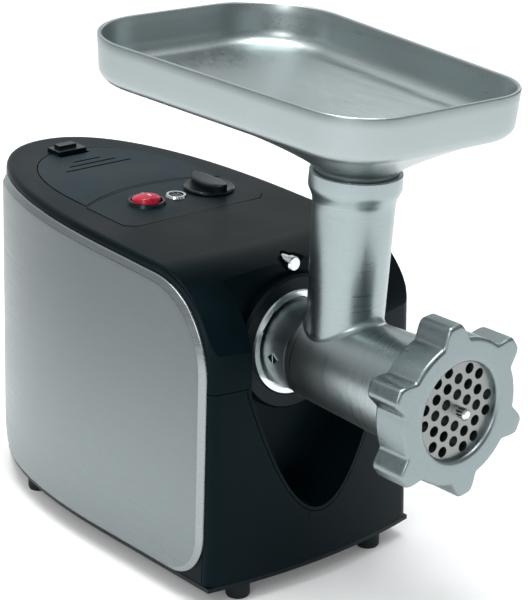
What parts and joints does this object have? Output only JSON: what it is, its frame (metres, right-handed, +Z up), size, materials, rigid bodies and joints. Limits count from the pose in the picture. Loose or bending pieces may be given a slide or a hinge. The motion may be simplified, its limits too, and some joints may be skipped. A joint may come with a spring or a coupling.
{
  "type": "electric meat grinder",
  "caption": "Electric meat grinder with a black housing, steel side panels, a removable cast grinding head with lobed ring nut, and a food tray on its feed tube.",
  "frame": {"origin": "on the floor under the middle of the overall length, in the plane of symmetry of the housing", "axes": "+X to the right seen from the front, -Y the way the grinding head points, +Z up"},
  "size_m": [0.1612, 0.3892, 0.3078],
  "materials": {
    "black_matt": "fine matt moulded black",
    "black_satin": "satin moulded black",
    "black_gloss": "glossy black",
    "brushed_steel": "brushed stainless sheet",
    "cast_aluminium": "satin cast and brushed",
    "nut_aluminium": "satin cast",
    "tool_steel": "ground steel",
    "bright_steel": "bright",
    "red_plastic": "glossy red",
    "rubber": "matt rubber",
    "die_cast": "rough die-cast",
    "nylon": "natural nylon",
    "bronze": "sintered bronze",
    "copper": "lacquered copper",
    "lamination": "lacquered laminations",
    "carbon": "pressed carbon",
    "board": "glass-fibre board"
  },
  "bodies": {
    "housing": {"base_pan": "black_satin", "upper_shell": "black_matt", "front_panel": "black_matt", "side_panel_left": "brushed_steel", "side_panel_right": "brushed_steel", "hub_collar": "black_satin", "hub_socket": "bright_steel", "control_plate": "black_matt", "switch_bezel": "black_gloss", "signal_ring": "bright_steel", "signal_grille": "black_gloss", "accessory_bin": "black_satin", "rubber_feet": "rubber", "base_screws": "bright_steel", "cable_grommet": "rubber", "gearbox_case": "die_cast", "gearbox_cover": "die_cast", "output_bush": "bronze", "motor_cradle": "black_satin", "field_stack": "lamination", "field_coils": "copper", "motor_end_frame": "die_cast", "rotor_bearings": "bright_steel", "brush_holders": "bronze", "carbon_brushes": "carbon", "motor_screws": "bright_steel", "circuit_board": "board", "rocker_switch_body": "black_satin", "selector_switch_body": "black_satin"},
    "rocker": {"power_rocker": "red_plastic"},
    "selector": {"selector_knob": "black_gloss"},
    "lid": {"storage_lid": "black_matt"},
    "latch": {"lid_latch": "black_gloss"},
    "button": {"release_button": "bright_steel", "button_spring": "bright_steel"},
    "rotor": {"rotor_shaft": "bright_steel", "rotor_core": "lamination", "commutator": "copper", "cooling_fan": "black_satin", "motor_pinion": "tool_steel"},
    "intermediate": {"intermediate_shaft": "bright_steel", "intermediate_wheel": "nylon", "intermediate_pinion": "tool_steel"},
    "drive": {"output_gear": "tool_steel", "output_shaft": "tool_steel", "scroll": "cast_aluminium", "scroll_pin": "bright_steel", "knife": "tool_steel"},
    "head": {"head_casting": "cast_aluminium", "scroll_bush": "nylon", "hole_plate": "tool_steel", "plate_key": "tool_steel"},
    "nut": {"ring_nut": "nut_aluminium"},
    "tray": {"food_tray": "cast_aluminium"}
  },
  "joints": [
    {"name": "output_spin", "type": "hinge", "parent": "housing", "child": "drive", "pos_m": [0, -0.0605, 0.1374], "axis": [0, 1, 0], "continuous": true},
    {"name": "intermediate_spin", "type": "hinge", "parent": "housing", "child": "intermediate", "pos_m": [0, 0, 0.0999], "axis": [0, 1, 0], "continuous": true},
    {"name": "motor_spin", "type": "hinge", "parent": "housing", "child": "rotor", "pos_m": [0, 0, 0.0699], "axis": [0, 1, 0], "continuous": true},
    {"name": "head_twist", "type": "hinge", "parent": "housing", "child": "head", "pos_m": [0, -0.0605, 0.1374], "axis": [0, 1, 0], "range_deg": [0, 40]},
    {"name": "ring_nut_turn", "type": "hinge", "parent": "head", "child": "nut", "pos_m": [0, -0.1905, 0.1374], "axis": [0, -1, 0], "range_deg": [0, 360]},
    {"name": "tray_lift", "type": "slide", "parent": "head", "child": "tray", "axis": [0.0166, -0.0471, 0.9988], "range_m": [0, 0.03]},
    {"name": "rocker_tip", "type": "hinge", "parent": "housing", "child": "rocker", "pos_m": [-0.017, 0.0554, 0.19232], "axis": [1, 0, 0], "range_deg": [0, 16]},
    {"name": "selector_turn", "type": "hinge", "parent": "housing", "child": "selector", "pos_m": [0.03, 0.0553, 0.19431], "axis": [0, -0.0499, 0.9988], "range_deg": [-45, 45]},
    {"name": "lid_lift", "type": "slide", "parent": "housing", "child": "lid", "axis": [0, -0.0499, 0.9988], "range_m": [0, 0.04]},
    {"name": "latch_slide", "type": "slide", "parent": "lid", "child": "latch", "axis": [0, -0.9988, -0.0499], "range_m": [0, 0.003]},
    {"name": "button_press", "type": "slide", "parent": "housing", "child": "button", "axis": [0, 1, 0], "range_m": [0, 0.003], "stiffness_N_per_m": 800, "springref_m": -0.002, "deforming": ["button_spring"]}
  ],
  "couplings": [
    {"joint": "intermediate_spin", "follows": "output_spin", "ratio": -4},
    {"joint": "motor_spin", "follows": "output_spin", "ratio": 20}
  ]
}
